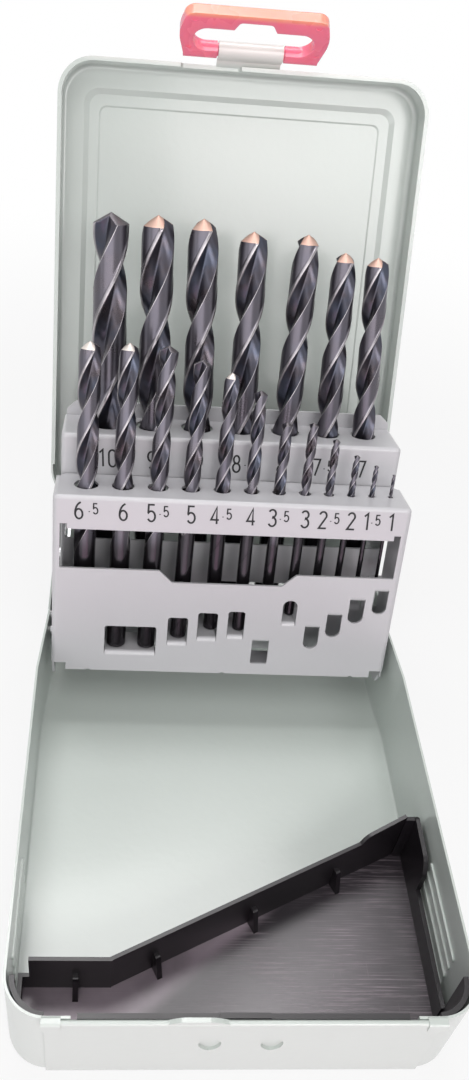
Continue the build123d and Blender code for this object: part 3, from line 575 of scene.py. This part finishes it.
# printed size numbers on the racks
rackNumbers = {
    "ink": (0.018, 0.018, 0.021, 1), "inkDeep": (0.005, 0.005, 0.006, 1), "speck": 2500.0,
    "roughness": (0.3, 0.7, 0.55, 0.7),
    "tall": 5.3 * mm, "small": 3.2 * mm, "stroke": 0.58 * mm, "smallStroke": 0.43 * mm,
    "lift": 0.04 * mm, "width": 0.94, "lean": -0.05, "advance": 0.56, "sharpest": 0.45,
    # the dot stands left of the small five and above its foot
    "dotBack": 1.8 * mm, "dotRise": 0.5 * mm,
    # top front edge of the front rack, and how far the raised racks lean back, in degrees
    "corner": (0, 125.62 * mm - trayHalf, 77.99 * mm), "leanBack": 16,
    # low ends of the large and the small digits above the edge, and how deep the face lies
    "front_rack": (-7.1 * mm, -5.4 * mm, 0.0), "back_rack": (2.5 * mm, 4.2 * mm, 16.6 * mm),
    # number, middle of the large digit, middle of the small five of a half size
    "rows": {
        "front_rack": (("6", -44.6, -39.9), ("6", -31.9, None), ("5", -23.8, -19.65),
                       ("5", -12.3, None), ("4", -5.4, -1.4), ("4", 5.1, None), ("3", 11.4, 15.35),
                       ("3", 21.0, None), ("2", 26.2, 30.2), ("2", 34.6, None), ("1", 39.3, 42.4),
                       ("1", 46.7, None)),
        "back_rack": (("10", -37.1, None), ("9", -24.0, -19.8), ("9", -9.9, None),
                      ("8", 1.5, 5.8), ("8", 15.0, None), ("7", 25.8, 29.9), ("7", 39.6, None)),
    },
}


def arc(x, y, across, up, first, last, steps=14):
    return [(x + across * cos(radians(first + (last - first) * i / steps)),
             y + up * sin(radians(first + (last - first) * i / steps))) for i in range(steps + 1)]


# narrow digits drawn as strokes, one unit tall
digitStrokes = {
    "0": [arc(0, 0.74, 0.21, 0.26, 0, 180) + arc(0, 0.26, 0.21, 0.26, 180, 360) + [(0.21, 0.74)]],
    "1": [[(-0.17, 0.82), (0.03, 1.0), (0.03, 0)]],
    "2": [arc(0, 0.77, 0.20, 0.23, 165, -25) + [(-0.22, 0), (0.22, 0)]],
    "3": [arc(-0.02, 0.77, 0.20, 0.23, 155, -90) + arc(-0.02, 0.27, 0.22, 0.27, 90, -155)],
    "4": [[(0.10, 0), (0.10, 1.0), (-0.23, 0.25), (0.23, 0.25)]],
    "5": [[(0.19, 1.0), (-0.15, 1.0), (-0.18, 0.53)] + arc(-0.01, 0.31, 0.22, 0.31, 138, -150)],
    "6": [arc(0, 0.29, 0.21, 0.29, 0, 360, 22), arc(0.25, 0.30, 0.46, 0.70, 180, 104)],
    "7": [[(-0.21, 1.0), (0.21, 1.0), (-0.06, 0)]],
    "8": [arc(0, 0.76, 0.17, 0.24, 0, 360, 20), arc(0, 0.27, 0.21, 0.27, 0, 360, 20)],
    "9": [arc(0, 0.71, 0.21, 0.29, 0, 360, 22), arc(-0.25, 0.70, 0.46, 0.70, 0, -76)],
    ".": [[(0, 0.0), (0, 0.09)]],
}


def makeInk():
    material, tree, shader, coords = newMaterial("numberInk")
    speck = noiseNode(tree, coords, rackNumbers["speck"], detail=2.0)
    feedAll(tree, shader, {"Base Color": colourMix(tree, speck, rackNumbers["inkDeep"], rackNumbers["ink"]),
                           "Roughness": mapRange(tree, speck, *rackNumbers["roughness"])})
    return material


def strokeRibbon(points, width, verts, faces):
    # flat ribbon along a stroke, mitred at its corners
    spots = [Vector(p) for p in points]
    base = len(verts)
    for i, spot in enumerate(spots):
        before = (spot - spots[max(i - 1, 0)]).normalized()
        after = (spots[min(i + 1, len(spots) - 1)] - spot).normalized()
        way = (before + after).normalized()
        reach = width / 2 / max(rackNumbers["sharpest"], way.dot(before if i else after))
        side = Vector((-way.y, way.x)) * reach
        verts += [(*(spot + side), 0), (*(spot - side), 0)]
    faces += [(j, j + 1, j + 3, j + 2) for j in range(base, base + 2 * len(spots) - 2, 2)]


def writeSigns(label, x, y, height, stroke, verts, faces):
    for k, sign in enumerate(label):
        shift = x + (k - (len(label) - 1) / 2) * rackNumbers["advance"] * height
        for points in digitStrokes[sign]:
            placed = [(shift + height * (u * rackNumbers["width"] + v * rackNumbers["lean"]),
                       y + height * v) for u, v in points]
            strokeRibbon(placed, stroke, verts, faces)


def makeNumbers():
    ink = makeInk()
    large = (rackNumbers["tall"], rackNumbers["stroke"])
    little = (rackNumbers["small"], rackNumbers["smallStroke"])
    corner = Matrix.Translation(rackNumbers["corner"])
    lean = Matrix.Rotation(radians(90 - rackNumbers["leanBack"]), 4, "X")
    for rack, row in rackNumbers["rows"].items():
        low, smallLow, face = rackNumbers[rack]
        verts, faces = [], []
        for label, x, smallX in row:
            writeSigns(label, x * mm, low, *large, verts, faces)
            if smallX is not None:
                writeSigns("5", smallX * mm, smallLow, *little, verts, faces)
                writeSigns(".", smallX * mm - rackNumbers["dotBack"], smallLow + rackNumbers["dotRise"],
                           *little, verts, faces)
        mesh = bpy.data.meshes.new(rack + "Numbers")
        mesh.from_pydata(verts, [], faces)
        mesh.transform(corner @ lean @ Matrix.Translation((0, 0, rackNumbers["lift"] - face)))
        mesh.materials.append(ink)
        mesh.update()
        plate = addObject(rack + "Numbers", mesh)
        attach(plate, rack)


makeNumbers()
print("numbers printed")


# floor, light and camera
stageLook = {
    "floor": (0.62, 0.62, 0.62, 1), "roughness": 0.9, "reach": 6.0,
    # seen by the camera, the floor is lifted towards white, fully so beyond the shadow
    "glow": 0.84, "shadowReach": (0.20, 0.42),
    "skyHigh": (0.24, 0.24, 0.24, 1), "skyLow": (0.09, 0.078, 0.08, 1), "skySpan": (0.0, 0.8),
    # the lamps point at one spot; each has its name, place, size, power and tint
    "aim": (0, 0.02, 0.06),
    "lamps": (
        ("rearSoftbox", (-0.06, 0.34, 0.98), (0.60, 0.26), 4.3, (1, 0.985, 0.99)),
        ("frontSoftbox", (-0.12, -0.36, 1.05), (0.5, 0.5), 2.6, (1.0, 0.98, 0.98)),
        ("frontKey", (0.20, -0.62, 0.57), (0.38, 0.26), 2.1, (1.0, 0.97, 0.97)),
        ("frontFill", (-0.25, -1.05, 0.33), (1.4, 0.55), 5.8, (1.0, 0.98, 0.985)),
        ("tableGlow", (0, -0.26, 0.02), (0.3, 0.03), 0.07, (1.0, 0.5, 0.75)),
        ("rightStrip", (0.80, -0.30, 0.45), (0.12, 0.8), 0.35, (1, 1, 1)),
        ("leftStrip", (-0.75, -0.35, 0.40), (0.2, 0.8), 0.8, (1, 1, 1)),
    ),
}
white = (1, 1, 1, 1)


def seenDirectly(tree):
    rays = tree.nodes.new("ShaderNodeLightPath").outputs
    return mathNode(tree, "MAXIMUM", rays["Is Camera Ray"],
                    mathNode(tree, "MAXIMUM", rays["Is Glossy Ray"], rays["Is Transmission Ray"]))


def makeFloor():
    material, tree, shader, coords = newMaterial("studioFloor")
    feedAll(tree, shader, {"Base Color": stageLook["floor"], "Roughness": stageLook["roughness"]})
    distance = tree.nodes.new("ShaderNodeVectorMath")
    distance.operation = "LENGTH"
    link(tree, coords, distance.inputs[0])
    lift = mapRange(tree, distance.outputs["Value"], *stageLook["shadowReach"], stageLook["glow"], 1.0,
                    smooth=True)
    glow = tree.nodes.new("ShaderNodeEmission")
    glow.inputs["Color"].default_value = white
    blend = tree.nodes.new("ShaderNodeMixShader")
    for place, source in enumerate((product(tree, seenDirectly(tree), lift), shader.outputs["BSDF"],
                                    glow.outputs["Emission"])):
        link(tree, source, blend.inputs[place])
    link(tree, blend.outputs["Shader"], tree.nodes["Material Output"].inputs["Surface"])
    mesh = bpy.data.meshes.new("studioFloor")
    reach = stageLook["reach"]
    mesh.from_pydata([(-reach, -reach, 0), (reach, -reach, 0), (reach, reach, 0), (-reach, reach, 0)],
                     [], [(0, 1, 2, 3)])
    mesh.materials.append(material)
    addObject("studioFloor", mesh)


def makeWorld():
    # lights the piece more from overhead than from the horizon, and is seen as white
    world = bpy.data.worlds.new("studioWorld")
    bpy.context.scene.world = world
    world.use_nodes = True
    tree = world.node_tree
    height = axesOf(tree, tree.nodes.new("ShaderNodeTexCoord").outputs["Generated"])["Z"]
    sky = colourMix(tree, mapRange(tree, height, *stageLook["skySpan"]), stageLook["skyLow"],
                    stageLook["skyHigh"])
    link(tree, colourMix(tree, seenDirectly(tree), sky, white), tree.nodes["Background"].inputs["Color"])


def makeLamps():
    for name, place, size, power, tint in stageLook["lamps"]:
        lamp = bpy.data.lights.new(name, "AREA")
        lamp.shape = "RECTANGLE"
        lamp.size, lamp.size_y = size
        lamp.energy = power
        lamp.color = tint
        body = addObject(name, lamp)
        body.location = place
        aim = Vector(stageLook["aim"]) - Vector(place)
        body.rotation_euler = aim.to_track_quat("-Z", "Y").to_euler()


cameraView = {
    "yaw": 6.08, "pitch": -42.91, "roll": 6.34, "lens": 32.66, "shift": (0.0412, 0.0054),
    "place": (-34.38 * mm, -87.49 * mm - trayHalf, 259.5 * mm), "filmHeight": 36, "nearest": 0.01,
}


def makeCamera():
    yaw, pitch, roll = (radians(cameraView[k]) for k in ("yaw", "pitch", "roll"))
    forward = Vector((sin(yaw) * cos(pitch), cos(yaw) * cos(pitch), sin(pitch)))
    right = Vector((cos(yaw), -sin(yaw), 0))
    up = right.cross(forward)
    across = right * cos(roll) + up * sin(roll)
    upright = up * cos(roll) - right * sin(roll)
    camera = bpy.data.cameras.new("camera")
    camera.sensor_fit = "VERTICAL"
    camera.sensor_height = cameraView["filmHeight"]
    camera.lens = cameraView["lens"]
    camera.shift_x, camera.shift_y = cameraView["shift"]
    camera.clip_start = cameraView["nearest"]
    body = addObject("camera", camera)
    turn = Matrix((across, upright, -forward)).transposed().to_4x4()
    body.matrix_world = Matrix.Translation(cameraView["place"]) @ turn
    bpy.context.scene.camera = body


makeFloor()
makeWorld()
makeLamps()
makeCamera()
bpy.context.scene.view_settings.view_transform = "Standard"
print("stage lit")
